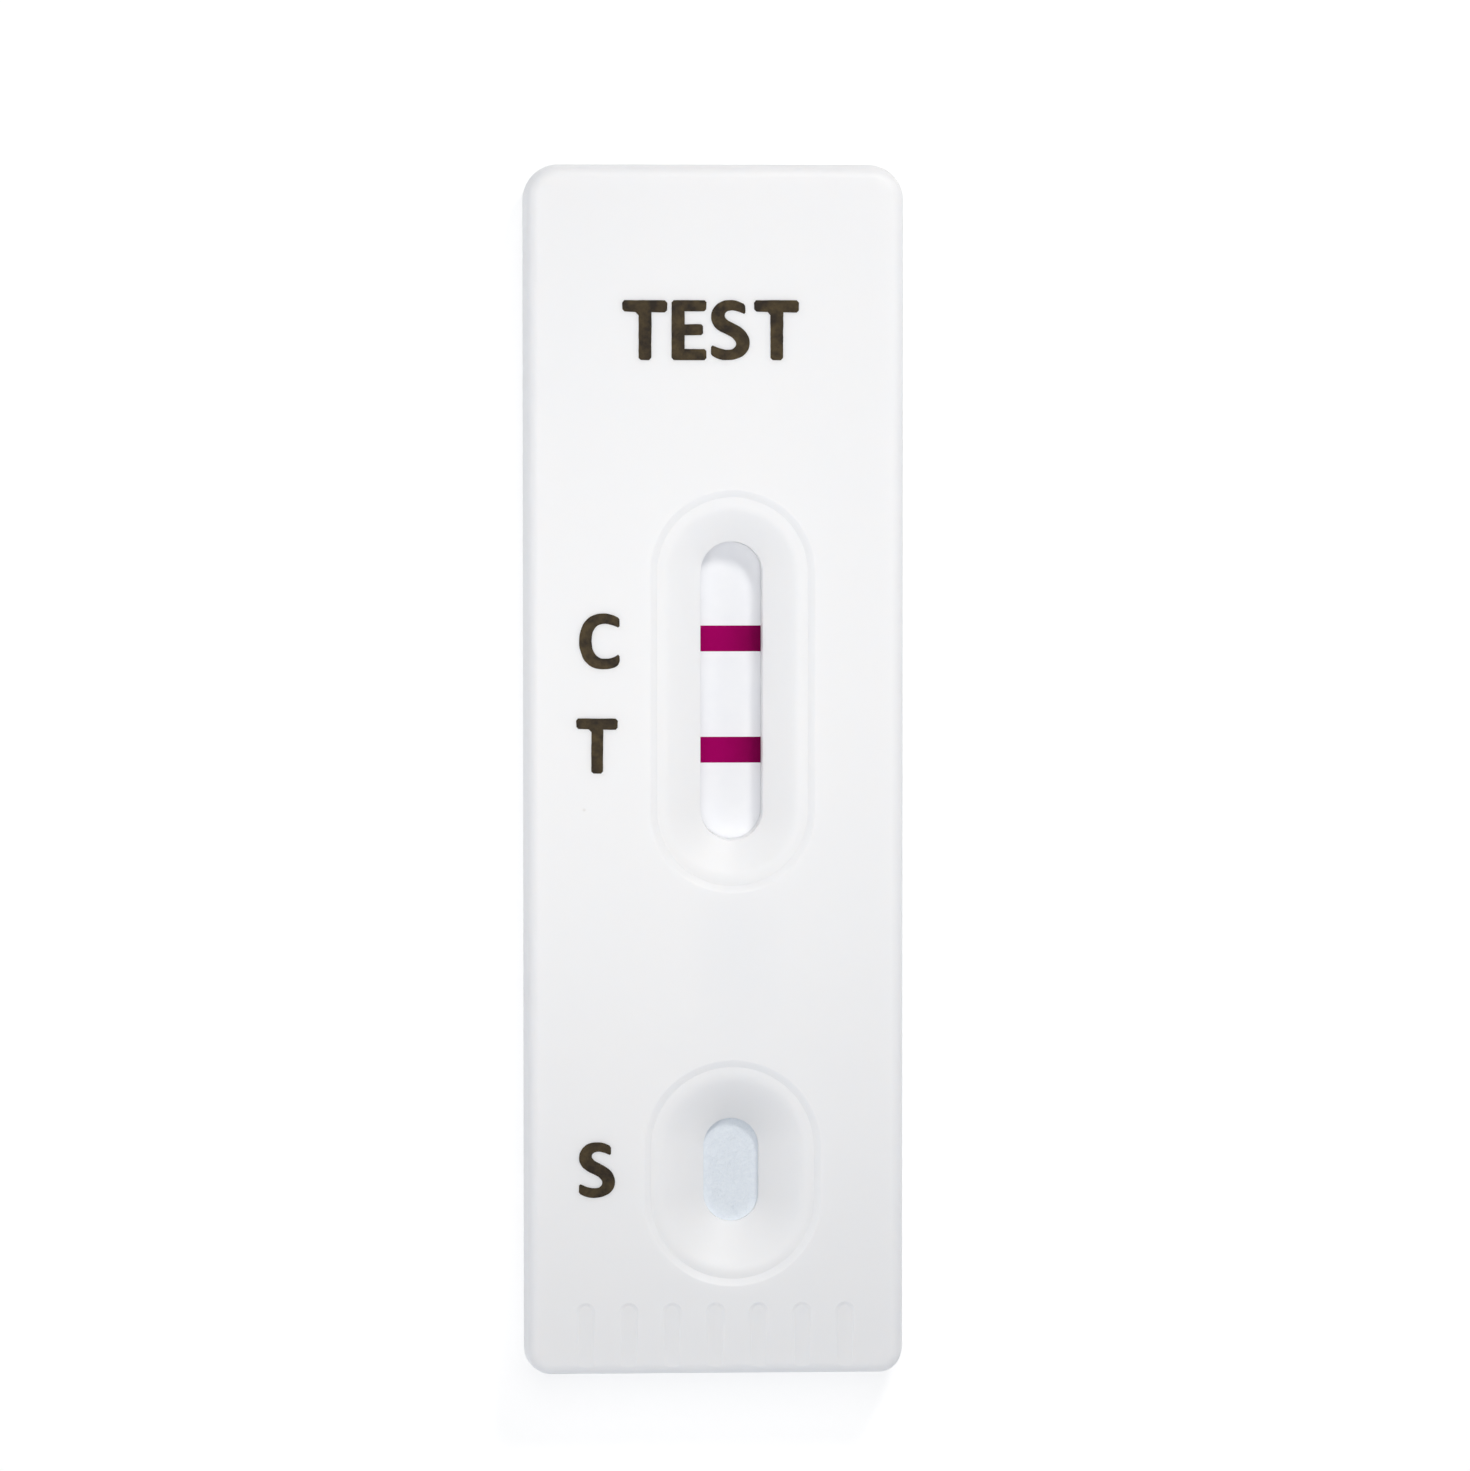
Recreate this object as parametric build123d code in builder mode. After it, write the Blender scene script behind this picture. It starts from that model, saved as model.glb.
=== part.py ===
from build123d import *
import math
import os

# Lateral flow test cassette: two moulded half shells, pressed together round a layered test strip.
# The cassette lies on its back. X is its width, +Y runs from the sample end to the header end,
# +Z comes out of the reading face, and the origin is the middle of the underside. Millimetres.

# Outside. The length follows from the strip, its bed and the walls.
body_width = 22.0
lower_height = 2.4
upper_height = 2.6
head_corner_radius = 2.05
tail_corner_radius = 1.5
draft_angle = 6.0
top_edge_radius = 0.65
base_edge_chamfer = 0.3
seam_chamfer = 0.12
seam_angle = 45.0

# Shell walls, and the lip of the lower shell that locates the upper one
wall_thickness = 1.2
plate_thickness = 1.1
floor_thickness = 1.0
cavity_corner_radius = 0.6
lip_height = 0.5
lip_thickness = 0.45
lip_clearance = 0.1

# Round press pins of the upper shell, in six-sided sockets of the lower one
pin_radius = 0.77
pin_length = 1.2
pin_chamfer = 0.2
pin_clearance = 0.03
pin_tip_gap = 0.2
boss_radius = 1.5
boss_lip_gap = 0.15
pin_rows = 4
pin_end_inset = 6.05

# Test strip, layer by layer
strip_width = 4.0
strip_length = 60.0
strip_offset = 1.0
backing_thickness = 0.25
membrane_thickness = 0.15
conjugate_length = 10.0
conjugate_thickness = 0.35
conjugate_window_gap = 0.55
sample_pad_thickness = 0.55
absorbent_thickness = 0.8
absorbent_window_gap = 2.35
lap_length = 2.0
lap_ramp = 0.6

# Reagent lines across the membrane, placed from the middle of the window
line_width = 1.5
line_depth = 0.06
control_line_shift = 2.99
test_line_shift = -3.46

# Bed of the strip in the lower shell
bed_height = 0.8
bed_bar_thickness = 1.0
bed_bar_count = 9
rail_thickness = 0.8
rail_rise = 0.02
strip_side_gap = 0.15
strip_end_gap = 0.2
bed_end_room = 2.8

# Reading window and sample well: a small step, a ledge, a sloping funnel and a throat
well_from_end = 11.85
window_from_well = 27.81
window_width = 3.6
window_length = 17.3
window_slope_run = 1.95
window_throat_height = 1.5
window_rim_gap = 0.02
well_width = 3.2
well_length = 6.04
well_slope_run = 2.52
well_throat_height = 0.45
step_run = 0.4
step_depth = 0.25
step_edge_radius = 0.2
ledge_run = 0.6
slope_top_radius = 1.2
throat_draft_run = 0.05
rim_wall = 0.6

# Pressure ribs under the upper shell, which hold the pads' laps down
rib_thickness = 0.8
wick_rib_inset = 4.0

# Grip flutes at the sample end of the reading face, deepest at their inner ends
flute_count = 7
flute_pitch = 2.5
flute_width = 0.8
flute_cap_depth = 0.11
flute_end_depth = 0.02
flute_length = 4.2
flute_side_slope = 28.0

# How far a cutter reaches past the face that it opens
cut_margin = 0.5

# Levels up through the stack
body_height = lower_height + upper_height
plate_underside = body_height - plate_thickness
bed_top = floor_thickness + bed_height
card_top = bed_top + backing_thickness
membrane_top = card_top + membrane_thickness
sample_pad_top = card_top + sample_pad_thickness
rail_top = membrane_top + rail_rise
window_rim = rail_top + window_rim_gap
ledge_level = body_height - step_depth

# Plan sizes shared by the two shells
bed_width = strip_width + 2 * strip_side_gap
bed_length = strip_length + 2 * strip_end_gap
cavity_width = body_width - 2 * wall_thickness
cavity_length = bed_length + 2 * (rail_thickness + bed_end_room)
body_length = cavity_length + 2 * wall_thickness
pin_x = cavity_width / 2 - boss_lip_gap - boss_radius
pin_pitch = (cavity_length - 2 * pin_end_inset) / (pin_rows - 1)
pin_places = [place.position for place in GridLocations(2 * pin_x, pin_pitch, 2, pin_rows)]

# Stations along Y, from the sample end
well_y = well_from_end - body_length / 2
window_y = well_y + window_from_well
window_rim_reach = window_length / 2 + rim_wall
strip_start = -strip_length / 2
strip_end = strip_length / 2
conjugate_end = window_y - window_rim_reach - conjugate_window_gap
conjugate_start = conjugate_end - conjugate_length
membrane_start = conjugate_end - lap_length
sample_pad_end = conjugate_start + lap_length
absorbent_start = window_y + window_rim_reach + absorbent_window_gap
membrane_end = absorbent_start + lap_length
control_line_y = window_y + control_line_shift
test_line_y = window_y + test_line_shift


def case_outline():
    """Plan of the case at the parting line, with rounder corners at the header end."""
    with BuildSketch() as plan:
        Rectangle(body_width, body_length)
        fillet(plan.vertices().group_by(Axis.Y)[0], tail_corner_radius)
        fillet(plan.vertices().group_by(Axis.Y)[-1], head_corner_radius)
    return plan.sketch


def oblong(half, straight):
    """A solid whose half section, drawn in XZ from its centre line out, is carried round a slot along Y."""
    with BuildPart() as solid:
        extrude(half, amount=straight / 2, dir=(0, 1, 0))
        mirror(about=Plane.YZ)
        with Locations((0, straight / 2, 0)):
            add(half)
        revolve(axis=Axis((0, straight / 2, 0), (0, 0, 1)), revolution_arc=180)
        mirror(about=Plane.XZ)
    return solid.part


def recess(width, length, slope_run, throat_height, rim_level):
    """Cutter for an opening in the reading face: step, ledge, funnel and throat."""
    throat = width / 2
    throat_foot = throat - throat_draft_run
    slope_top = throat + slope_run
    ledge_edge = slope_top + ledge_run
    over = body_height + cut_margin
    under = rim_level - cut_margin
    mouth_over = ledge_edge + step_run + cut_margin * step_run / step_depth
    with BuildSketch(Plane.XZ) as half:
        with BuildLine():
            FilletPolyline(
                (mouth_over, over),
                (ledge_edge, ledge_level),
                (slope_top, ledge_level),
                (throat, rim_level + throat_height),
                (throat_foot, under),
                radius=[0, slope_top_radius, 0],
            )
            Polyline((throat_foot, under), (0, under), (0, over), (mouth_over, over))
        make_face()
    return oblong(half.sketch, length - width)


def funnel_wall(width, length, slope_run, rim_level):
    """Material round an opening, from the plate down to the rim that stands over the strip."""
    rim = width / 2 + rim_wall
    shoulder = rim + slope_run
    inside_plate = body_height - plate_thickness / 2
    with BuildSketch(Plane.XZ) as half:
        with BuildLine():
            Polyline(
                (0, rim_level),
                (rim, rim_level),
                (shoulder, plate_underside),
                (shoulder, inside_plate),
                (0, inside_plate),
                close=True,
            )
        make_face()
    return oblong(half.sketch, length - width)


def flute():
    """Cutter for one grip flute: a shallow groove with flaring sides and round ends."""
    half_width = flute_width / 2
    flare = cut_margin / math.tan(math.radians(flute_side_slope))
    with BuildSketch(Plane.XZ) as half:
        with BuildLine():
            TangentArc((0, -flute_end_depth), (half_width, 0), tangent=(1, 0))
            Polyline(
                (half_width, 0),
                (half_width + flare, cut_margin),
                (0, cut_margin),
                (0, -flute_end_depth),
            )
        make_face()
    return oblong(half.sketch, 2 * (flute_length - half_width))


def lapped_pad(start, step_foot, end, thickness, rise):
    """A pad that lies on the card from start, and climbs by rise onto the layer that begins at step_foot."""
    ramp_start = step_foot - lap_ramp if end > start else step_foot + lap_ramp
    underside = (
        (start, card_top),
        (ramp_start, card_top),
        (step_foot, card_top + rise),
        (end, card_top + rise),
    )
    upper_side = [(y, z + thickness) for y, z in reversed(underside)]
    with BuildPart() as pad:
        with BuildSketch(Plane.YZ.offset(strip_offset)):
            with BuildLine():
                Polyline(*underside, *upper_side, close=True)
            make_face()
        extrude(amount=strip_width / 2, both=True)
    return pad.part


def strip_layer(start, end, level, thickness):
    """A flat layer of the strip, cut to the strip's width."""
    with BuildPart() as layer:
        with BuildSketch(Plane.XY.offset(level)):
            with Locations((strip_offset, (start + end) / 2)):
                Rectangle(strip_width, end - start)
        extrude(amount=thickness)
    return layer.part


def dye_line(middle):
    """A line of dye in its seat, level with the membrane's face."""
    start = middle - line_width / 2
    end = middle + line_width / 2
    return strip_layer(start, end, membrane_top - line_depth, line_depth)


case_plan = case_outline()
window_recess = recess(window_width, window_length, window_slope_run, window_throat_height, window_rim)
window_wall = funnel_wall(window_width, window_length, window_slope_run, window_rim)
well_recess = recess(well_width, well_length, well_slope_run, well_throat_height, sample_pad_top)
well_wall = funnel_wall(well_width, well_length, well_slope_run, sample_pad_top)
flute_cut = flute()

# Lower half shell: a tray with the strip's bed, eight pin sockets and the locating lip
with BuildPart() as lower_housing:
    with BuildSketch(Plane.XY.offset(lower_height - seam_chamfer)):
        add(case_plan)
    extrude(amount=-(lower_height - seam_chamfer), taper=draft_angle)
    chamfer(lower_housing.faces().sort_by(Axis.Z)[0].edges(), base_edge_chamfer)
    with BuildSketch(Plane.XY.offset(lower_height - seam_chamfer)):
        add(case_plan)
    extrude(amount=seam_chamfer, taper=seam_angle)
    with BuildSketch(Plane.XY.offset(floor_thickness)):
        RectangleRounded(cavity_width, cavity_length, cavity_corner_radius)
    extrude(amount=lower_height - floor_thickness, mode=Mode.SUBTRACT)
    with BuildSketch(Plane.XY.offset(lower_height)):
        RectangleRounded(
            cavity_width + 2 * lip_thickness,
            cavity_length + 2 * lip_thickness,
            cavity_corner_radius + lip_thickness,
        )
        RectangleRounded(cavity_width, cavity_length, cavity_corner_radius, mode=Mode.SUBTRACT)
    extrude(amount=lip_height)
    # Rails round the strip, with bars across the bed
    with BuildSketch(Plane.XY.offset(floor_thickness)):
        with Locations((strip_offset, 0)):
            Rectangle(bed_width + 2 * rail_thickness, bed_length + 2 * rail_thickness)
            Rectangle(bed_width, bed_length, mode=Mode.SUBTRACT)
    extrude(amount=rail_top - floor_thickness)
    bar_pitch = (strip_length - bed_bar_thickness) / (bed_bar_count - 1)
    with BuildSketch(Plane.XY.offset(floor_thickness)):
        with Locations((strip_offset, 0)):
            with GridLocations(bed_width, bar_pitch, 1, bed_bar_count):
                Rectangle(bed_width, bed_bar_thickness)
    extrude(amount=bed_height)
    # Pin sockets
    with BuildSketch(Plane.XY.offset(floor_thickness)):
        with Locations(pin_places):
            Circle(boss_radius)
    extrude(amount=lower_height - floor_thickness)
    with BuildSketch(Plane.XY.offset(lower_height)):
        with Locations(pin_places):
            RegularPolygon(pin_radius + pin_clearance, side_count=6, major_radius=False)
    extrude(amount=-(pin_length + pin_tip_gap), mode=Mode.SUBTRACT)
lower_housing.part.label = "lower_housing"

# Upper half shell: the reading face with its two openings, and the pins and ribs below it
with BuildPart() as upper_housing:
    with BuildSketch(Plane.XY.offset(lower_height + seam_chamfer)):
        add(case_plan)
    extrude(amount=upper_height - seam_chamfer, taper=draft_angle)
    fillet(upper_housing.faces().sort_by(Axis.Z)[-1].edges(), top_edge_radius)
    with BuildSketch(Plane.XY.offset(lower_height + seam_chamfer)):
        add(case_plan)
    extrude(amount=-seam_chamfer, taper=seam_angle)
    with BuildSketch(Plane.XY.offset(lower_height)):
        RectangleRounded(cavity_width, cavity_length, cavity_corner_radius)
    extrude(amount=upper_height - plate_thickness, mode=Mode.SUBTRACT)
    rabbet = lip_thickness + lip_clearance
    with BuildSketch(Plane.XY.offset(lower_height)):
        RectangleRounded(
            cavity_width + 2 * rabbet,
            cavity_length + 2 * rabbet,
            cavity_corner_radius + rabbet,
        )
    extrude(amount=lip_height + lip_clearance, mode=Mode.SUBTRACT)
    # Press pins, each below a shoulder that stands on its socket
    with BuildSketch(Plane.XY.offset(lower_height)):
        with Locations(pin_places):
            Circle(boss_radius)
    extrude(amount=plate_underside - lower_height)
    with BuildSketch(Plane.XY.offset(lower_height)):
        with Locations(pin_places):
            Circle(pin_radius)
    extrude(amount=-pin_length)
    chamfer(upper_housing.edges().group_by(Axis.Z)[0], pin_chamfer)
    # Pressure ribs on the laps and on the wick
    ribs = (
        (conjugate_start + lap_length / 2, card_top + conjugate_thickness + sample_pad_thickness),
        (conjugate_end - lap_length / 2, membrane_top + conjugate_thickness),
        (membrane_end - lap_length / 2, membrane_top + absorbent_thickness),
        (strip_end - wick_rib_inset, card_top + absorbent_thickness),
    )
    for rib_y, pad_top in ribs:
        with BuildSketch(Plane.XY.offset(plate_underside)):
            with Locations((strip_offset, rib_y)):
                Rectangle(strip_width, rib_thickness)
        extrude(amount=pad_top - plate_underside)
    # The two openings
    with Locations((strip_offset, window_y)):
        add(window_wall)
    with Locations((strip_offset, well_y)):
        add(well_wall)
    with Locations((strip_offset, window_y)):
        add(window_recess, mode=Mode.SUBTRACT)
    with Locations((strip_offset, well_y)):
        add(well_recess, mode=Mode.SUBTRACT)
    mouth_edges = upper_housing.faces().sort_by(Axis.Z)[-1].inner_wires().edges()
    fillet(mouth_edges, step_edge_radius)
    # Grip flutes, which rise towards the end of the face and run out there
    flute_rise = math.degrees(math.atan2(flute_cap_depth - flute_end_depth, flute_length))
    with Locations((0, -body_length / 2, body_height)):
        with GridLocations(flute_pitch, flute_length, flute_count, 1):
            add(flute_cut, rotation=(-flute_rise, 0, 0), mode=Mode.SUBTRACT)
upper_housing.part.label = "upper_housing"

# Plastic card that carries the strip
with BuildPart() as backing_card:
    add(strip_layer(strip_start, strip_end, bed_top, backing_thickness))
backing_card.part.label = "backing_card"

# Membrane, with a shallow seat for each line of captured dye
with BuildPart() as membrane:
    add(strip_layer(membrane_start, membrane_end, card_top, membrane_thickness))
    with BuildSketch(Plane.XY.offset(membrane_top)):
        with Locations((strip_offset, control_line_y), (strip_offset, test_line_y)):
            Rectangle(strip_width, line_width)
    extrude(amount=-line_depth, mode=Mode.SUBTRACT)
membrane.part.label = "nitrocellulose_membrane"

# The two lines of dye, level with the membrane's face
with BuildPart() as control_line:
    add(dye_line(control_line_y))
control_line.part.label = "control_line"

with BuildPart() as test_line:
    add(dye_line(test_line_y))
test_line.part.label = "test_line"

# Fibre pads, each lapped onto the layer that it feeds
with BuildPart() as conjugate_pad:
    add(lapped_pad(conjugate_start, membrane_start, conjugate_end, conjugate_thickness, membrane_thickness))
conjugate_pad.part.label = "conjugate_pad"

with BuildPart() as sample_pad:
    add(lapped_pad(strip_start, conjugate_start, sample_pad_end, sample_pad_thickness, conjugate_thickness))
sample_pad.part.label = "sample_pad"

with BuildPart() as absorbent_pad:
    add(lapped_pad(strip_end, membrane_end, absorbent_start, absorbent_thickness, membrane_thickness))
absorbent_pad.part.label = "absorbent_pad"

os.makedirs("parts", exist_ok=True)
pieces = (
    lower_housing,
    upper_housing,
    backing_card,
    membrane,
    control_line,
    test_line,
    conjugate_pad,
    sample_pad,
    absorbent_pad,
)
for piece in pieces:
    export_step(piece.part, f"parts/{piece.part.label}.step")
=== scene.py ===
# %% [markdown]
# # A lateral flow cassette
# The real object is a flat white case, 70 by 22 mm, that holds a paper-thin test strip. Two moulded half
# shells press together round the strip. An oblong window shows its membrane, and a funnel takes the sample.
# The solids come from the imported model, which is in metres, with the underside at Z = 0 and the sample end
# at -Y. This lesson gives each surface its finish, adds the printed marks and the loose fibres, and sets up
# the light.

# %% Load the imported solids
import math

import bmesh
import bpy
from mathutils import Matrix, Vector, noise


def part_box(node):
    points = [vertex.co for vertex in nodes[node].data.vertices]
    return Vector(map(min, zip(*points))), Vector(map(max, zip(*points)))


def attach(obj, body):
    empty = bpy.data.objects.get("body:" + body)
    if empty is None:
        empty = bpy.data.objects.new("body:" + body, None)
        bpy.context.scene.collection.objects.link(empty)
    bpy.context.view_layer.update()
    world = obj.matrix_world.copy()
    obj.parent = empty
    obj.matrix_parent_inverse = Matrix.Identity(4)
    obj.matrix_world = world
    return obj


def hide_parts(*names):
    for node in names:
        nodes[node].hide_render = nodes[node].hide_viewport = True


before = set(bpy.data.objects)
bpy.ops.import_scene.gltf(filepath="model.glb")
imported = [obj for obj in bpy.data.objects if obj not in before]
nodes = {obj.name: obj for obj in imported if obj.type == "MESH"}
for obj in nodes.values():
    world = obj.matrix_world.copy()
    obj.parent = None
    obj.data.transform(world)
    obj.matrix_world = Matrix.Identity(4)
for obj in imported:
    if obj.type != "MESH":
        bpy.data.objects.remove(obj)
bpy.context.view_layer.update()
MM = 0.001
scene = bpy.context.scene
print("Solids:", ", ".join(sorted(nodes)))

# %% [markdown]
# ## Helpers for every finish
# Colours are easier to read as sRGB hex values, as a paint program shows them, but Blender's shaders work
# with linear light. One function turns the first into the second. Another adds a shader node with its
# settings and its links in a single line, so that each material below reads as a short recipe, and a third
# starts an empty material.

# %% Colour and node helpers
def linear(code):
    """The linear colour of an sRGB hex value such as "#F3F3F4"."""
    steps = [int(code[i:i + 2], 16) / 255 for i in (1, 3, 5)]
    return tuple(s / 12.92 if s <= 0.04045 else ((s + 0.055) / 1.055) ** 2.4 for s in steps) + (1.0,)


def put(tree, kind, settings=None, links=None):
    """Adds one node: settings are its properties and free sockets, links are its wired sockets."""
    made = tree.nodes.new(kind)
    for key, value in (settings or {}).items():
        if isinstance(key, str) and hasattr(made, key):
            setattr(made, key, value)
        else:
            made.inputs[key].default_value = value
    for key, socket in (links or {}).items():
        tree.links.new(socket, made.inputs[key])
    return made


def blank_material(name):
    """An empty node material, and its tree."""
    material = bpy.data.materials.new(name)
    material.use_nodes = True
    material.node_tree.nodes.clear()
    return material, material.node_tree


print("White plastic in linear light:", [round(c, 3) for c in linear("#F3F3F4")])

# %% [markdown]
# ## Camera
# The photograph looks almost straight down: it shows a little of the left and the far outer walls, and of
# the right inner walls. So the camera stands about three degrees to -X and to +Y of the vertical, far
# enough away that the two long edges stay almost parallel. Its up direction is +Y, so its axes are worked
# out by hand.

# %% Camera
VIEW_HEIGHT = 85.2 * MM
VIEW_DISTANCE = 400 * MM
SENSOR_HEIGHT = 24.0
LOOK_AT = Vector((1.27, 2.03, 2.4)) * MM
LEAN_X = math.radians(-3.0)
LEAN_Y = math.radians(2.75)

camera_data = bpy.data.cameras.new("camera")
camera_data.sensor_fit = "VERTICAL"
camera_data.sensor_height = SENSOR_HEIGHT
camera_data.lens = SENSOR_HEIGHT * VIEW_DISTANCE / VIEW_HEIGHT
camera_data.clip_start = 10 * MM
camera = bpy.data.objects.new("camera", camera_data)
scene.collection.objects.link(camera)
lean = Vector((math.tan(LEAN_X), math.tan(LEAN_Y), 1.0)).normalized()
right = Vector((0, 1, 0)).cross(lean).normalized()
up = lean.cross(right)
turn = Matrix((right, up, lean)).transposed().to_4x4()
camera.matrix_world = Matrix.Translation(LOOK_AT + lean * VIEW_DISTANCE) @ turn
scene.camera = camera
scene.view_settings.view_transform = "Standard"
print("Lens in mm:", round(camera_data.lens, 1))

# %% [markdown]
# ## Light
# White plastic shows its form only by small steps of grey, so the light is soft and comes from three places.
# The world is a light tent: it is brighter near the horizon, most of all on the near left, and so it fills
# the outer walls that the lamps don't reach. A wide lamp above lights the face and the bottoms of the two
# openings. A smaller one beyond the head end, a little to the right, draws the shadow inside each opening's
# upper end, and makes the face fall off slowly towards the sample end. The background itself is plain white:
# the rays that see it get white, and only the others get the tent's light.

# %% World
ZENITH = 0.35
HORIZON_RISE = 1.25
HORIZON_FALL = 4.0
FILL_SIDE = (-0.3, -0.92, 0.0)


def background_rays(tree):
    """A node that is 1 for the rays that see the background: the camera's, and those of gloss and glass."""
    path = put(tree, "ShaderNodeLightPath")
    first = put(tree, "ShaderNodeMath", {"operation": "MAXIMUM"},
                {0: path.outputs["Is Camera Ray"], 1: path.outputs["Is Glossy Ray"]})
    return put(tree, "ShaderNodeMath", {"operation": "MAXIMUM"},
               {0: first.outputs[0], 1: path.outputs["Is Transmission Ray"]})


world = bpy.data.worlds.new("studio")
world.use_nodes = True
sky = world.node_tree
sky.nodes.clear()
seen = background_rays(sky)
way = put(sky, "ShaderNodeTexCoord")
height = put(sky, "ShaderNodeSeparateXYZ", None, {"Vector": way.outputs["Generated"]})
below_zenith = put(sky, "ShaderNodeMapRange", {"To Min": 1.0, "To Max": 0.0}, {"Value": height.outputs["Z"]})
curved = put(sky, "ShaderNodeMath", {"operation": "POWER", 1: HORIZON_FALL}, {0: below_zenith.outputs[0]})
turned = put(sky, "ShaderNodeVectorMath", {"operation": "DOT_PRODUCT", 1: FILL_SIDE},
             {0: way.outputs["Generated"]})
sided = put(sky, "ShaderNodeMath", {"operation": "MULTIPLY_ADD", 1: HORIZON_RISE, 2: HORIZON_RISE},
            {0: turned.outputs["Value"]})
glow = put(sky, "ShaderNodeMath", {"operation": "MULTIPLY_ADD", 2: ZENITH},
           {0: curved.outputs[0], 1: sided.outputs[0]})
soft_fill = put(sky, "ShaderNodeBackground", {"Color": linear("#F4F8FF")}, {"Strength": glow.outputs[0]})
white_back = put(sky, "ShaderNodeBackground", {"Color": linear("#FFFFFF"), "Strength": 1.0})
either = put(sky, "ShaderNodeMixShader", None,
             {0: seen.outputs[0], 1: soft_fill.outputs[0], 2: white_back.outputs[0]})
put(sky, "ShaderNodeOutputWorld", None, {"Surface": either.outputs[0]})
scene.world = world
print("World at the zenith:", ZENITH)

# %% Lamps
# A lamp's power comes from the share of light that it should give a level white face below it.
LAMP_COLOUR = "#FFFCF7"
TARGET_HEIGHT = 5 * MM
OVERHEAD_ASIDE = -8 * MM
OVERHEAD_HEIGHT = 80 * MM
OVERHEAD_SIZE = 50 * MM
OVERHEAD_SHARE = 0.37
KEY_WAY = Vector((0.38, 0.85, 1.0)).normalized()
KEY_DISTANCE = 180 * MM
KEY_SIZE = 34 * MM
KEY_SHARE = 0.255


def lamp(name, place, target, size, share):
    """A square area lamp that gives a level face at target its share of the light."""
    data = bpy.data.lights.new(name, "AREA")
    data.shape = "SQUARE"
    data.size = size
    data.color = linear(LAMP_COLOUR)[:3]
    back = Vector(place) - Vector(target)
    data.energy = share * math.pi ** 2 * back.length ** 2 / back.normalized().z
    made = bpy.data.objects.new(name, data)
    made.matrix_world = Matrix.Translation(place) @ back.to_track_quat("Z", "Y").to_matrix().to_4x4()
    made.visible_camera = False
    scene.collection.objects.link(made)


lamp("overhead", (OVERHEAD_ASIDE, 0, OVERHEAD_HEIGHT), (OVERHEAD_ASIDE, 0, TARGET_HEIGHT),
     OVERHEAD_SIZE, OVERHEAD_SHARE)
lamp("key", KEY_WAY * KEY_DISTANCE, (0, 0, TARGET_HEIGHT), KEY_SIZE, KEY_SHARE)
print("Lamps give a level face:", OVERHEAD_SHARE, KEY_SHARE)

# %% [markdown]
# ## Floor
# The cassette lies on a white sheet, which sends light back up to the outer walls. To the camera the sheet is
# also a little bright by itself, so that it reads as plain white and keeps only the tight shadow along the
# case's foot. Far from the lamps it would turn grey, so it gets slowly brighter there, and low views show no
# line at its edge.

# %% Floor
FLOOR_HALF = 3.0
FADE_FROM = 60 * MM
FADE_TO = 220 * MM
GLOW_NEAR = 0.66
GLOW_FAR = 0.80

floor_mesh = bpy.data.meshes.new("floor")
floor_mesh.from_pydata(
    [(-FLOOR_HALF, -FLOOR_HALF, 0), (FLOOR_HALF, -FLOOR_HALF, 0),
     (FLOOR_HALF, FLOOR_HALF, 0), (-FLOOR_HALF, FLOOR_HALF, 0)], [], [(0, 1, 2, 3)])
floor = bpy.data.objects.new("floor", floor_mesh)
scene.collection.objects.link(floor)
floor_finish, sheet = blank_material("white_paper_sheet")
seen = background_rays(sheet)
lit = put(sheet, "ShaderNodeBsdfDiffuse", {"Color": linear("#F2F2F2")})
shaded = put(sheet, "ShaderNodeBsdfDiffuse", {"Color": linear("#BEBEBE")})
coords = put(sheet, "ShaderNodeTexCoord")
reach = put(sheet, "ShaderNodeVectorMath", {"operation": "LENGTH"}, {0: coords.outputs["Object"]})
fade = put(sheet, "ShaderNodeMapRange",
           {"From Min": FADE_FROM, "From Max": FADE_TO, "To Min": GLOW_NEAR, "To Max": GLOW_FAR},
           {"Value": reach.outputs["Value"]})
glow = put(sheet, "ShaderNodeEmission", {"Color": linear("#FFFFFF")}, {"Strength": fade.outputs[0]})
bright = put(sheet, "ShaderNodeAddShader", None, {0: shaded.outputs[0], 1: glow.outputs[0]})
either = put(sheet, "ShaderNodeMixShader", None,
             {0: seen.outputs[0], 1: lit.outputs[0], 2: bright.outputs[0]})
put(sheet, "ShaderNodeOutputMaterial", None, {"Surface": either.outputs[0]})
floor_mesh.materials.append(floor_finish)
print("Floor half width in m:", FLOOR_HALF)

# %% [markdown]
# ## Moulded polystyrene
# The half shells are moulded in white polystyrene. The mould's fine satin texture takes the gloss off, so
# highlights spread wide, and a little light goes in and softens the shadows. Between the window and the well
# the colour is faintly darker and bluer: this is painted shade, for the shallow sink mark that thick ribs
# below the plate leave. One speck of scorched resin shows on the left.
# The grain is really about 0.05 mm. It is drawn at 0.2 mm, because finer than that it would not show.

# %% Housing finish
GRAIN = 0.2 * MM
GRAIN_HEIGHT = 0.0022 * MM
FLOW_MARK = 9.0 * MM
# Where the painted shade of the sink mark sits, and how far it reaches.
PAINTED_SINK_SHADE_AT = (1.1 * MM, -9.9 * MM, 5.0 * MM)
PAINTED_SINK_SHADE_REACH = (3.2 * MM, 7.0 * MM, 4.0 * MM)
SPECK_AT = (-7.55 * MM, -2.12 * MM, 5.0 * MM)
SPECK_REACH = (0.14 * MM, 0.12 * MM, 0.12 * MM)


def soft_spot(tree, coords, place, reach):
    """A soft round spot, 1 at its middle and 0 at its edge."""
    about = put(tree, "ShaderNodeMapping", {"vector_type": "TEXTURE", "Location": place, "Scale": reach},
                {"Vector": coords.outputs["Object"]})
    return put(tree, "ShaderNodeTexGradient", {"gradient_type": "SPHERICAL"}, {"Vector": about.outputs[0]})


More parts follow.
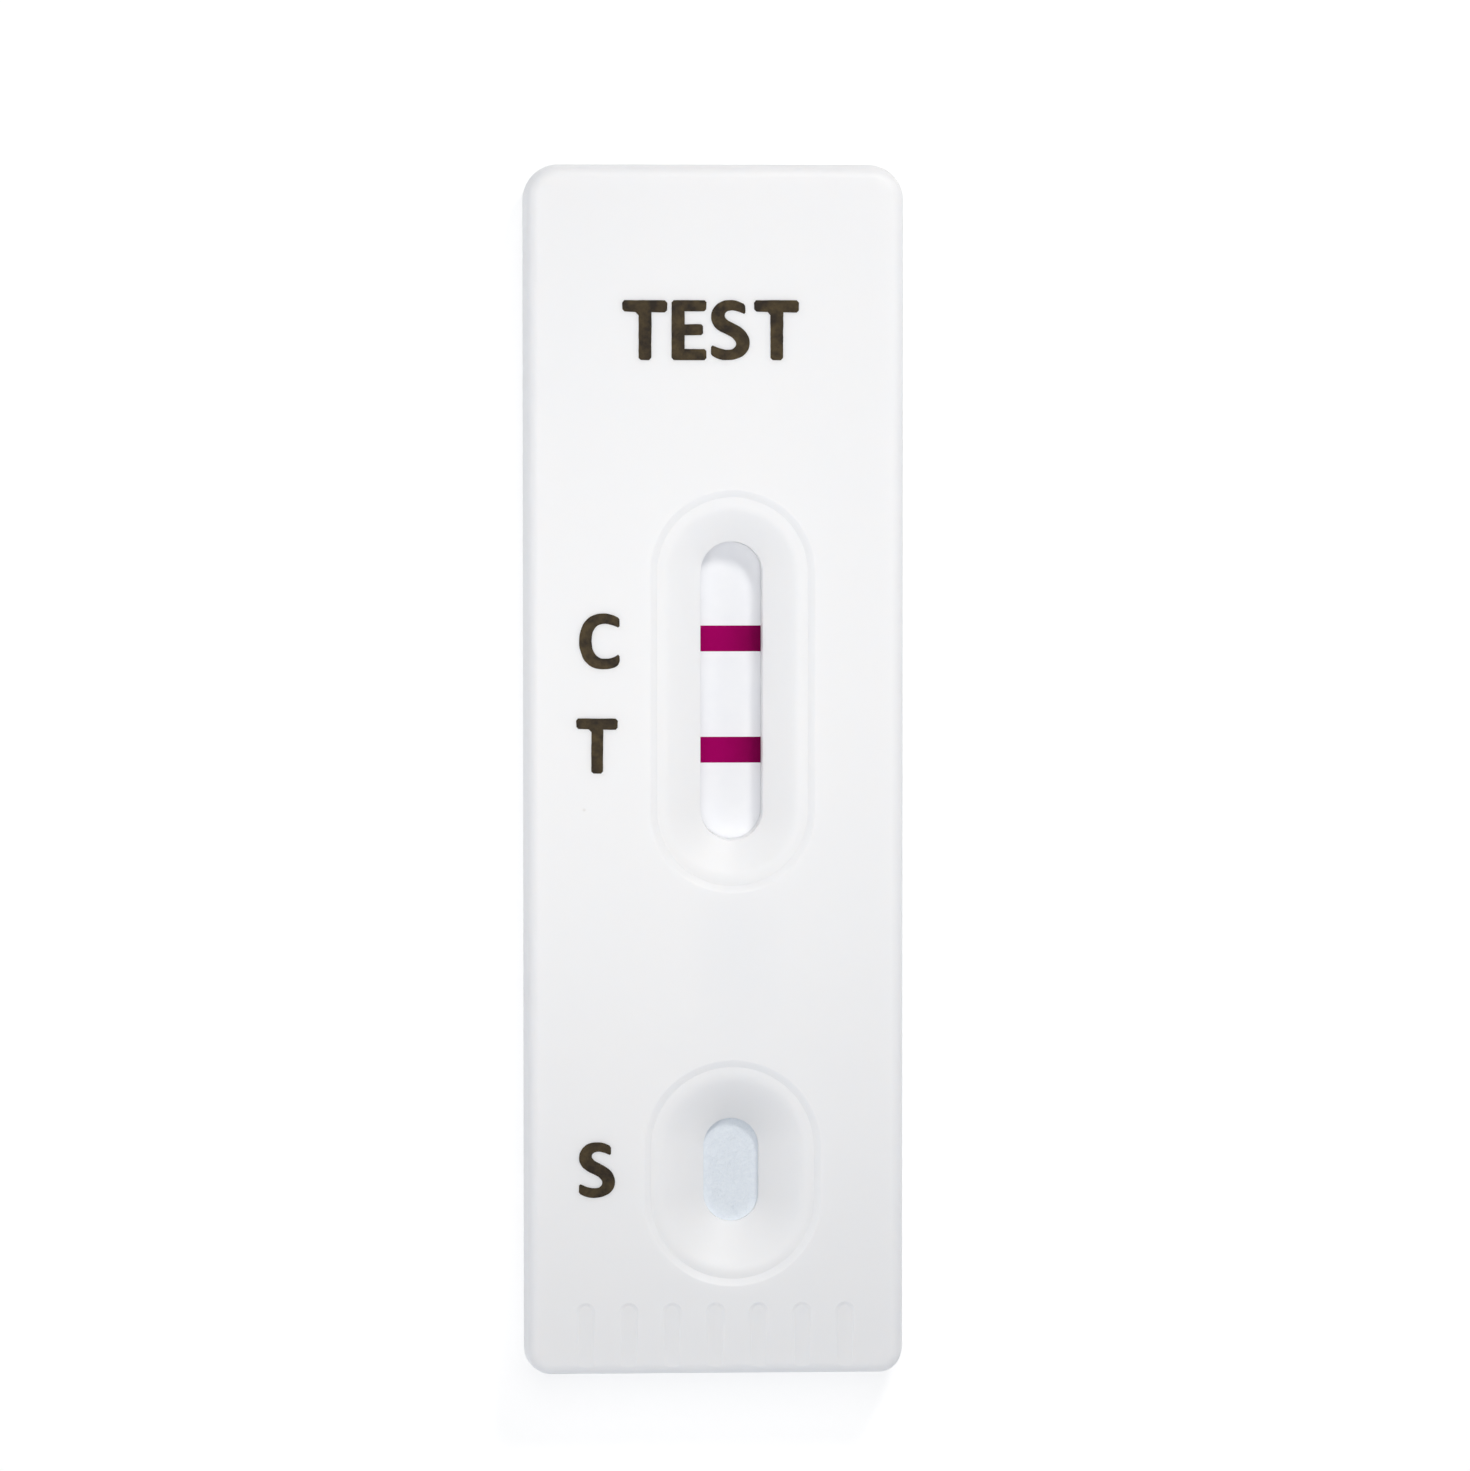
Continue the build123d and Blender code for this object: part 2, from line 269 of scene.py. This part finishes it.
polystyrene, tree = blank_material("moulded_white_polystyrene")
coords = put(tree, "ShaderNodeTexCoord")
flow = put(tree, "ShaderNodeTexNoise", {"Scale": 1 / FLOW_MARK, "Detail": 2.0},
           {"Vector": coords.outputs["Object"]})
flow_share = put(tree, "ShaderNodeMapRange", {"From Min": 0.35, "From Max": 0.65, "To Max": 0.5},
                 {"Value": flow.outputs[0]})
clean = put(tree, "ShaderNodeMix",
            {"data_type": "RGBA", 6: linear("#F3F3F4"), 7: linear("#F1F2F4")}, {0: flow_share.outputs[0]})
# A soft darker, bluish patch between the window and the well: painted shade, standing for the sink mark's
# dip.
painted_sink_shade = soft_spot(tree, coords, PAINTED_SINK_SHADE_AT, PAINTED_SINK_SHADE_REACH)
painted_sink_shade_share = put(tree, "ShaderNodeMapRange", {"To Max": 0.16}, {"Value": painted_sink_shade.outputs["Fac"]})
tone_with_painted_sink_shade = put(tree, "ShaderNodeMix", {"data_type": "RGBA", 7: linear("#DFE3EA")},
           {0: painted_sink_shade_share.outputs[0], 6: clean.outputs[2]})
speck = soft_spot(tree, coords, SPECK_AT, SPECK_REACH)
speck_share = put(tree, "ShaderNodeMapRange", {"To Max": 0.25}, {"Value": speck.outputs["Fac"]})
speck_and_painted_sink_shade = put(tree, "ShaderNodeMix", {"data_type": "RGBA", 7: linear("#A89E90")},
             {0: speck_share.outputs[0], 6: tone_with_painted_sink_shade.outputs[2]})
grain = put(tree, "ShaderNodeTexNoise", {"Scale": 1 / GRAIN, "Detail": 3.0, "Roughness": 0.6},
            {"Vector": coords.outputs["Object"]})
satin = put(tree, "ShaderNodeMapRange", {"To Min": 0.40, "To Max": 0.56}, {"Value": grain.outputs[0]})
bump = put(tree, "ShaderNodeBump", {"Strength": 1.0, "Distance": GRAIN_HEIGHT}, {"Height": grain.outputs[0]})
shader = put(tree, "ShaderNodeBsdfPrincipled",
             {"IOR": 1.59, "Subsurface Weight": 0.55, "Subsurface Radius": (1.0, 0.95, 0.9),
              "Subsurface Scale": 0.8 * MM},
             {"Base Color": speck_and_painted_sink_shade.outputs[2], "Roughness": satin.outputs[0], "Normal": bump.outputs[0]})
put(tree, "ShaderNodeOutputMaterial", None, {"Surface": shader.outputs[0]})
print("Grain in mm:", GRAIN / MM)

# %% [markdown]
# ## Half shells
# Each solid arrives as loose patches of triangles, one for each face that it was drawn with, so its shading
# breaks along every border. A merged copy takes its place. A fixed angle can't tell a shallow flute's edge
# from a step in a small radius, so the patches themselves are asked: where two of them meet with clearly
# different normals, the edge stays sharp, and everywhere else the copy is smooth. The normals are then
# weighted by area, so that flat faces stay flat and only the radii bend the light.

# %% Half shells
CREASE = math.radians(11)
MATCH_STEP = 0.0001 * MM
MERGE_WITHIN = 0.001 * MM
AREA_WEIGHT = 80


def point_key(point):
    """A point rounded to the match step, so that two patches' corners can be matched."""
    return tuple(round(c / MATCH_STEP) for c in point)


def patch_borders(shape):
    """For each border edge of the loose patches: the normals that each patch has at its two ends."""
    borders = {}
    for edge in shape.edges:
        if len(edge.link_faces) == 1:
            ends = {point_key(v.co): v.normal.copy() for v in edge.verts}
            borders.setdefault(frozenset(ends), []).append(ends)
    return borders


def moulded_shell(node, name):
    """A merged, smooth-shaded copy of a shell, which stands for its solid."""
    mesh = bpy.data.meshes.new(name)
    shape = bmesh.new()
    shape.from_mesh(nodes[node].data)
    shape.normal_update()
    borders = patch_borders(shape)
    bmesh.ops.remove_doubles(shape, verts=shape.verts, dist=MERGE_WITHIN)
    creases = 0
    for face in shape.faces:
        face.smooth = True
    for edge in shape.edges:
        sides = borders.get(frozenset(point_key(v.co) for v in edge.verts), [])
        if len(sides) == 2 and any(sides[0][k].angle(sides[1][k], 0) > CREASE for k in sides[0]):
            edge.smooth = False
            creases += 1
    shape.to_mesh(mesh)
    shape.free()
    mesh.materials.append(polystyrene)
    shell = bpy.data.objects.new(name, mesh)
    scene.collection.objects.link(shell)
    weighting = shell.modifiers.new("flat_faces_first", "WEIGHTED_NORMAL")
    weighting.keep_sharp = True
    weighting.weight = AREA_WEIGHT
    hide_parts(node)
    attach(shell, "root")
    print(name, "triangles:", len(mesh.polygons), "creased edges:", creases)


moulded_shell("upper_housing", "upper_shell")
moulded_shell("lower_housing", "lower_shell")

# %% [markdown]
# ## Membrane
# Nitrocellulose is a cast, chalk-white film: dead matt, very even, with only a faint cloudiness. Its solid is
# shown as it is, so it only needs its own finish. The pores are far finer than 0.12 mm, and are drawn at that
# size because they would not show otherwise.

# %% Membrane finish
CLOUD = 1.4 * MM
PORE = 0.12 * MM
PORE_DEPTH = 0.002 * MM


def dress(node, material):
    """Gives a solid that is shown as it is its own finish."""
    nodes[node].data.materials.clear()
    nodes[node].data.materials.append(material)


nitrocellulose, tree = blank_material("cast_nitrocellulose_membrane")
coords = put(tree, "ShaderNodeTexCoord")
cloud = put(tree, "ShaderNodeTexNoise", {"Scale": 1 / CLOUD, "Detail": 3.0},
            {"Vector": coords.outputs["Object"]})
body = put(tree, "ShaderNodeMix", {"data_type": "RGBA", 6: linear("#F8F9FB"), 7: linear("#F1F3F8")},
           {0: cloud.outputs[0]})
pores = put(tree, "ShaderNodeTexNoise", {"Scale": 1 / PORE, "Detail": 2.0},
            {"Vector": coords.outputs["Object"]})
bump = put(tree, "ShaderNodeBump", {"Strength": 1.0, "Distance": PORE_DEPTH}, {"Height": pores.outputs[0]})
shader = put(tree, "ShaderNodeBsdfPrincipled", {"Roughness": 0.9, "IOR": 1.5, "Specular IOR Level": 0.25},
             {"Base Color": body.outputs[2], "Normal": bump.outputs[0]})
put(tree, "ShaderNodeOutputMaterial", None, {"Surface": shader.outputs[0]})
dress("nitrocellulose_membrane", nitrocellulose)
print("Membrane cloud and pore in mm:", CLOUD / MM, PORE / MM)

# %% [markdown]
# ## Dye lines
# The two lines are dye that the membrane's pores have caught. They are dark magenta and as matt as the
# membrane, with crisp edges along the flow. Towards +X they turn darker: this is painted shade, for the
# shadow that the window's right wall casts on them. The darkening follows the lines' own width, which the
# frame gives.

# %% Dye finish
# The painted shade starts this far in from the lines' left end.
DYE_UNSHADED_RUN = 1.3 * MM
DYE_CLOUD = 0.5 * MM
line_low, line_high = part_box("control_line")

dye, tree = blank_material("captured_magenta_dye")
coords = put(tree, "ShaderNodeTexCoord")
across = put(tree, "ShaderNodeSeparateXYZ", None, {"Vector": coords.outputs["Object"]})
# Darker towards +X: painted shade of the window's right wall, laid over the dye's own colour.
painted_wall_shade = put(tree, "ShaderNodeMapRange",
              {"From Min": line_low[0] + DYE_UNSHADED_RUN, "From Max": line_high[0],
               "interpolation_type": "SMOOTHSTEP"}, {"Value": across.outputs["X"]})
dye_with_painted_shade = put(tree, "ShaderNodeMix", {"data_type": "RGBA", 6: linear("#9A045A"), 7: linear("#6E053F")},
            {0: painted_wall_shade.outputs[0]})
cloud = put(tree, "ShaderNodeTexNoise", {"Scale": 1 / DYE_CLOUD, "Detail": 3.0},
            {"Vector": coords.outputs["Object"]})
cloud_share = put(tree, "ShaderNodeMapRange", {"To Max": 0.22}, {"Value": cloud.outputs[0]})
blotted_dye_with_painted_shade = put(tree, "ShaderNodeMix", {"data_type": "RGBA", 7: linear("#A60862")},
              {0: cloud_share.outputs[0], 6: dye_with_painted_shade.outputs[2]})
shader = put(tree, "ShaderNodeBsdfPrincipled", {"Roughness": 0.9, "IOR": 1.5, "Specular IOR Level": 0.02},
             {"Base Color": blotted_dye_with_painted_shade.outputs[2]})
put(tree, "ShaderNodeOutputMaterial", None, {"Surface": shader.outputs[0]})
dress("control_line", dye)
dress("test_line", dye)
print("Lines run in X from", round(line_low[0] / MM, 2), "to", round(line_high[0] / MM, 2), "mm")

# %% [markdown]
# ## Pads and card
# The pads are felted fibres: cellulose under the well, glass fibre below it with dried pink label, and thick
# cotton linter as the wick. The card is smooth white polystyrene sheet, with faint lines from the die that it
# was drawn through. Only the first pad shows, through the well, but each piece gets the finish that it has
# when the case is opened.

# %% Pad finishes
FELT = 0.16 * MM
FELT_RELIEF = 0.012 * MM


def felted(name, pale, deep, streak):
    """A felted fibre pad: two close colours, streaked along the strip, with a soft fibrous relief."""
    material, tree = blank_material(name)
    coords = put(tree, "ShaderNodeTexCoord")
    laid = put(tree, "ShaderNodeMapping", {"Scale": (1.0, 1 / streak, 1.0)},
               {"Vector": coords.outputs["Object"]})
    fibres = put(tree, "ShaderNodeTexNoise", {"Scale": 1 / FELT, "Detail": 4.0, "Distortion": 1.2},
                 {"Vector": laid.outputs[0]})
    share = put(tree, "ShaderNodeMapRange", {"From Min": 0.3, "From Max": 0.7}, {"Value": fibres.outputs[0]})
    tone = put(tree, "ShaderNodeMix", {"data_type": "RGBA", 6: linear(pale), 7: linear(deep)},
               {0: share.outputs[0]})
    relief = put(tree, "ShaderNodeBump", {"Strength": 1.0, "Distance": FELT_RELIEF},
                 {"Height": fibres.outputs[0]})
    shader = put(tree, "ShaderNodeBsdfPrincipled",
                 {"Roughness": 0.92, "IOR": 1.5, "Specular IOR Level": 0.2},
                 {"Base Color": tone.outputs[2], "Normal": relief.outputs[0]})
    put(tree, "ShaderNodeOutputMaterial", None, {"Surface": shader.outputs[0]})
    return material


cellulose = felted("felted_cellulose_pad", "#EDF3F9", "#E6EDF5", 1.0)
dress("sample_pad", cellulose)
dress("conjugate_pad", felted("glass_fibre_with_dried_label", "#E8D2D8", "#D9B3C0", 2.5))
dress("absorbent_pad", felted("cotton_linter_wick", "#F3F1EC", "#E9E6DE", 1.6))
print("Felt scale in mm:", FELT / MM)

# %% Card finish
DIE_LINE = 0.25 * MM
DIE_LINE_STRETCH = 0.04

card_sheet, tree = blank_material("extruded_polystyrene_card")
coords = put(tree, "ShaderNodeTexCoord")
drawn = put(tree, "ShaderNodeMapping", {"Scale": (1.0, DIE_LINE_STRETCH, 1.0)},
            {"Vector": coords.outputs["Object"]})
die_lines = put(tree, "ShaderNodeTexNoise", {"Scale": 1 / DIE_LINE, "Detail": 2.0},
                {"Vector": drawn.outputs[0]})
tone = put(tree, "ShaderNodeMix", {"data_type": "RGBA", 6: linear("#F4F4F3"), 7: linear("#EEEEED")},
           {0: die_lines.outputs[0]})
gloss = put(tree, "ShaderNodeMapRange", {"To Min": 0.22, "To Max": 0.34}, {"Value": die_lines.outputs[0]})
shader = put(tree, "ShaderNodeBsdfPrincipled", {"IOR": 1.59},
             {"Base Color": tone.outputs[2], "Roughness": gloss.outputs[0]})
put(tree, "ShaderNodeOutputMaterial", None, {"Surface": shader.outputs[0]})
dress("backing_card", card_sheet)
print("Die lines in mm:", DIE_LINE / MM)

# %% [markdown]
# ## Printed marks
# The case is pad printed after moulding: C and T beside the two lines, S beside the sample well, and a word
# at the head. C, T and S say what each place is for, as ON and OFF do on a switch. The head holds only the
# plain word TEST. Blender's own font is too light for this print, so the four letters are drawn as closed
# curves: round strokes get smooth handles, and cut ends get sharp ones. The curves are filled and made a
# mesh, and a slow noise makes the edges as uneven as a soft printing pad leaves them. The ink stands about a
# hundredth of a millimetre proud, a warm near-black film with a slight mottle.

# %% Ink finish
INK_PATCH = 0.8 * MM
INK_RELIEF = 0.003 * MM

ink, tree = blank_material("pad_printed_ink")
coords = put(tree, "ShaderNodeTexCoord")
mottle = put(tree, "ShaderNodeTexNoise", {"Scale": 1 / INK_PATCH, "Detail": 5.0, "Roughness": 0.6},
             {"Vector": coords.outputs["Object"]})
share = put(tree, "ShaderNodeMapRange", {"From Min": 0.38, "From Max": 0.64}, {"Value": mottle.outputs[0]})
tone = put(tree, "ShaderNodeMix", {"data_type": "RGBA", 6: linear("#20180F"), 7: linear("#473B25")},
           {0: share.outputs[0]})
film = put(tree, "ShaderNodeBump", {"Strength": 1.0, "Distance": INK_RELIEF}, {"Height": mottle.outputs[0]})
shader = put(tree, "ShaderNodeBsdfPrincipled", {"Roughness": 0.6, "IOR": 1.5, "Specular IOR Level": 0.2},
             {"Base Color": tone.outputs[2], "Normal": film.outputs[0]})
put(tree, "ShaderNodeOutputMaterial", None, {"Surface": shader.outputs[0]})
print("Ink mottle in mm:", INK_PATCH / MM)

# %% Letter outlines
# Each letter is one closed outline in cap heights, from its lower left corner. A third value marks a sharp
# corner.
ROUND_C = [
    (0.690, 0.925, 1), (0.600, 0.965), (0.440, 0.994), (0.250, 0.964), (0.107, 0.857), (0.027, 0.696),
    (0.000, 0.500), (0.027, 0.304), (0.107, 0.143), (0.232, 0.039), (0.400, 0.004), (0.560, 0.016),
    (0.668, 0.062), (0.710, 0.130), (0.712, 0.228, 1), (0.695, 0.248, 1), (0.600, 0.198), (0.458, 0.177),
    (0.339, 0.205), (0.250, 0.295), (0.211, 0.430), (0.211, 0.580), (0.250, 0.714), (0.330, 0.795),
    (0.437, 0.821), (0.575, 0.803), (0.692, 0.757, 1), (0.712, 0.775, 1), (0.712, 0.895, 1),
]
BENT_S = [
    (0.571, 0.905, 1), (0.545, 0.942, 1), (0.450, 0.984), (0.322, 1.000), (0.166, 0.970), (0.050, 0.871),
    (0.006, 0.733), (0.042, 0.595), (0.138, 0.497), (0.276, 0.429), (0.387, 0.355), (0.429, 0.269),
    (0.392, 0.192), (0.285, 0.160), (0.157, 0.179), (0.026, 0.230, 1), (0.007, 0.215, 1), (0.003, 0.098, 1),
    (0.024, 0.070, 1), (0.120, 0.020), (0.258, 0.000), (0.442, 0.028), (0.589, 0.122), (0.645, 0.269),
    (0.613, 0.411), (0.521, 0.521), (0.378, 0.608), (0.258, 0.678), (0.221, 0.750), (0.250, 0.812),
    (0.331, 0.842), (0.442, 0.829), (0.556, 0.786, 1), (0.571, 0.800, 1),
]
PLAIN_T = [
    (0.000, 0.960, 1), (0.030, 1.000, 1), (0.718, 0.997, 1), (0.750, 0.960, 1), (0.745, 0.840, 1),
    (0.715, 0.808, 1), (0.483, 0.812, 1), (0.478, 0.035, 1), (0.445, 0.000, 1), (0.312, 0.000, 1),
    (0.280, 0.033, 1), (0.280, 0.755, 1), (0.225, 0.815, 1), (0.035, 0.825, 1), (0.006, 0.855, 1),
]
PLAIN_E = [
    (0.000, 0.033, 1), (0.033, 0.000, 1), (0.545, 0.000, 1), (0.575, 0.030, 1), (0.572, 0.145, 1),
    (0.545, 0.172, 1), (0.205, 0.172, 1), (0.205, 0.422, 1), (0.490, 0.422, 1), (0.517, 0.450, 1),
    (0.515, 0.565, 1), (0.490, 0.592, 1), (0.205, 0.592, 1), (0.205, 0.828, 1), (0.545, 0.828, 1),
    (0.572, 0.857, 1), (0.575, 0.970, 1), (0.545, 1.000, 1), (0.033, 1.000, 1), (0.000, 0.967, 1),
]
LETTERS = {"C": ROUND_C, "S": BENT_S, "T": PLAIN_T, "E": PLAIN_E}
print("Letters drawn:", ", ".join(LETTERS))

# %% Letter curves
LETTER_GAP = 0.09
INK_SPREAD = 0.009
RUN_STEP = 0.06


def stepped(outline):
    """The outline with extra points along its straight runs, so that the noise can reach them."""
    points = []
    for here, after in zip(outline, outline[1:] + outline[:1]):
        points.append(here)
        if len(here) == 3 and len(after) == 3:
            run = math.dist(here[:2], after[:2])
            parts = max(1, round(run / RUN_STEP))
            points += [(here[0] + (after[0] - here[0]) * k / parts,
                        here[1] + (after[1] - here[1]) * k / parts, 1) for k in range(1, parts)]
    return points


def letter_curve(name, word):
    """A filled flat curve of the word, one cap height tall, from the origin to the right."""
    curve = bpy.data.curves.new(name, "CURVE")
    curve.dimensions = "2D"
    curve.fill_mode = "BOTH"
    curve.extrude = 0.5
    curve.offset = INK_SPREAD
    curve.resolution_u = 6
    start = 0.0
    for sign in word:
        points = stepped(LETTERS[sign])
        spline = curve.splines.new("BEZIER")
        spline.bezier_points.add(len(points) - 1)
        spline.use_cyclic_u = True
        for knot, point in zip(spline.bezier_points, points):
            knot.co = (start + point[0], point[1], 0)
            knot.handle_left_type = knot.handle_right_type = "VECTOR" if len(point) == 3 else "AUTO"
        start += max(p[0] for p in LETTERS[sign]) + LETTER_GAP
    return curve


print("Gap between letters in cap heights:", LETTER_GAP)

# %% Marks
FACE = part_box("upper_housing")[1][2]
INK_PROUD = 0.012 * MM
INK_SUNK = 0.005 * MM
EDGE_WANDER = 0.014 * MM
EDGE_WAVE = 0.35 * MM
EDGE_SEED = 5
CURVE_MERGE = 0.0002
# Each mark's name and word, then its left edge, its bottom edge and its cap height in millimetres.
MARKS = [
    ("mark_control", "C", -7.80, 6.00, 3.18),
    ("mark_test", "T", -7.98, 0.01, 3.12),
    ("mark_sample", "S", -7.86, -24.49, 3.16),
    ("mark_heading", "TEST", -5.32, 23.75, 3.38),
]
# Without a seed of its own, Blender's vector noise starts from the clock, and each run gets other edges.
noise.seed_set(EDGE_SEED)


def printed_mark(name, word, left, bottom, cap_height):
    """A printed word on the reading face, as a thin closed mesh."""
    source = bpy.data.objects.new(name, letter_curve(name, word))
    scene.collection.objects.link(source)
    mesh = bpy.data.meshes.new_from_object(source.evaluated_get(bpy.context.evaluated_depsgraph_get()))
    bpy.data.objects.remove(source)
    shape = bmesh.new()
    shape.from_mesh(mesh)
    bmesh.ops.remove_doubles(shape, verts=shape.verts, dist=CURVE_MERGE)
    for v in shape.verts:
        x = (left + v.co.x * cap_height) * MM
        y = (bottom + v.co.y * cap_height) * MM
        wander = noise.noise_vector(Vector((x, y, 0)) / EDGE_WAVE) * EDGE_WANDER
        v.co = (x + wander.x, y + wander.y, FACE + (INK_PROUD if v.co.z > 0 else -INK_SUNK))
    bmesh.ops.recalc_face_normals(shape, faces=shape.faces)
    shape.to_mesh(mesh)
    shape.free()
    mesh.materials.clear()
    mesh.materials.append(ink)
    mark = bpy.data.objects.new(name, mesh)
    scene.collection.objects.link(mark)
    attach(mark, "root")
    print(name, "faces:", len(mesh.polygons))


for mark in MARKS:
    printed_mark(*mark)

# %% [markdown]
# ## Loose fibres on the sample pad
# Close up, the pad in the well is a felt of fine filaments. Drawing a few hundred of them by hand makes no
# sense, so a Geometry Nodes tree does it: it scatters points over the oblong patch that the well leaves
# open, puts a short bowed filament on each, and turns and sizes them by a fixed seed. The result is baked to
# a plain mesh.

# %% Fibre tree
def fibre_tree(material):
    """Scatters bowed filaments flat over a mesh."""
    group = bpy.data.node_groups.new("scattered_fibres", "GeometryNodeTree")
    side = group.interface
    side.new_socket("Geometry", in_out="OUTPUT", socket_type="NodeSocketGeometry")
    side.new_socket("Geometry", in_out="INPUT", socket_type="NodeSocketGeometry")
    for label, kind in (("Fibres per square metre", "NodeSocketFloat"), ("Length", "NodeSocketFloat"),
                        ("Radius", "NodeSocketFloat"), ("Seed", "NodeSocketInt")):
        side.new_socket(label, in_out="INPUT", socket_type=kind)
    start = put(group, "NodeGroupInput")
    points = put(group, "GeometryNodeDistributePointsOnFaces", None,
                 {"Mesh": start.outputs["Geometry"], "Density": start.outputs["Fibres per square metre"],
                  "Seed": start.outputs["Seed"]})
    bow = put(group, "GeometryNodeCurveQuadraticBezier",
              {"Resolution": 5, "Start": (-0.5, 0, 0), "Middle": (0.05, 0.28, 0), "End": (0.5, 0, 0)})
    scale = put(group, "ShaderNodeCombineXYZ", None,
                {"X": start.outputs["Length"], "Y": start.outputs["Length"], "Z": start.outputs["Length"]})
    sized = put(group, "GeometryNodeTransform", None, {"Geometry": bow.outputs[0], "Scale": scale.outputs[0]})
    ring = put(group, "GeometryNodeCurvePrimitiveCircle", {"Resolution": 4},
               {"Radius": start.outputs["Radius"]})
    filament = put(group, "GeometryNodeCurveToMesh", {"Fill Caps": True},
                   {"Curve": sized.outputs[0], "Profile Curve": ring.outputs[0]})
    angle = put(group, "FunctionNodeRandomValue",
                {"data_type": "FLOAT_VECTOR", 0: (0, 0, 0), 1: (0, 0, 2 * math.pi)},
                {"Seed": start.outputs["Seed"]})
    size = put(group, "FunctionNodeRandomValue", {"data_type": "FLOAT", 2: 0.5, 3: 1.0},
               {"Seed": start.outputs["Seed"]})
    placed = put(group, "GeometryNodeInstanceOnPoints", None,
                 {"Points": points.outputs["Points"], "Instance": filament.outputs[0],
                  "Rotation": angle.outputs[0], "Scale": size.outputs[1]})
    real = put(group, "GeometryNodeRealizeInstances", None, {"Geometry": placed.outputs[0]})
    dressed = put(group, "GeometryNodeSetMaterial", {"Material": material}, {"Geometry": real.outputs[0]})
    put(group, "NodeGroupOutput", None, {"Geometry": dressed.outputs[0]})
    return group


scattered = fibre_tree(cellulose)
sockets = {item.name: item.identifier for item in scattered.interface.items_tree if item.in_out == "INPUT"}
print("Fibre inputs:", ", ".join(sockets))

# %% Fibres in the well
# The open patch in millimetres: its middle, half its width and half its straight run.
WELL_MIDDLE = (1.0, -23.15)
WELL_HALF_WIDTH = 1.55
WELL_HALF_STRAIGHT = 1.42
RIM_POINTS = 48
PAD_FACE = 2.6 * MM
FIBRES_PER_SQUARE_METRE = 24.0e6
FIBRE_LENGTH = 0.9 * MM
FIBRE_RADIUS = 0.011 * MM
FIBRE_SEED = 7

rim = []
for step in range(RIM_POINTS):
    a = 2 * math.pi * step / RIM_POINTS
    run = WELL_HALF_STRAIGHT if math.sin(a) >= 0 else -WELL_HALF_STRAIGHT
    rim.append(((WELL_MIDDLE[0] + WELL_HALF_WIDTH * math.cos(a)) * MM,
                (WELL_MIDDLE[1] + WELL_HALF_WIDTH * math.sin(a) + run) * MM, PAD_FACE))
patch = bpy.data.meshes.new("pad_fibres")
patch.from_pydata(rim, [], [tuple(range(RIM_POINTS))])
scatter = bpy.data.objects.new("fibre_patch", patch)
scene.collection.objects.link(scatter)
fibring = scatter.modifiers.new("fibres", "NODES")
fibring.node_group = scattered
fibring[sockets["Fibres per square metre"]] = FIBRES_PER_SQUARE_METRE
fibring[sockets["Length"]] = FIBRE_LENGTH
fibring[sockets["Radius"]] = FIBRE_RADIUS
fibring[sockets["Seed"]] = FIBRE_SEED
fibre_mesh = bpy.data.meshes.new_from_object(
    scatter.evaluated_get(bpy.context.evaluated_depsgraph_get()))
bpy.data.objects.remove(scatter)
fibres = bpy.data.objects.new("pad_fibres", fibre_mesh)
scene.collection.objects.link(fibres)
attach(fibres, "root")
print("Fibre faces:", len(fibre_mesh.polygons))
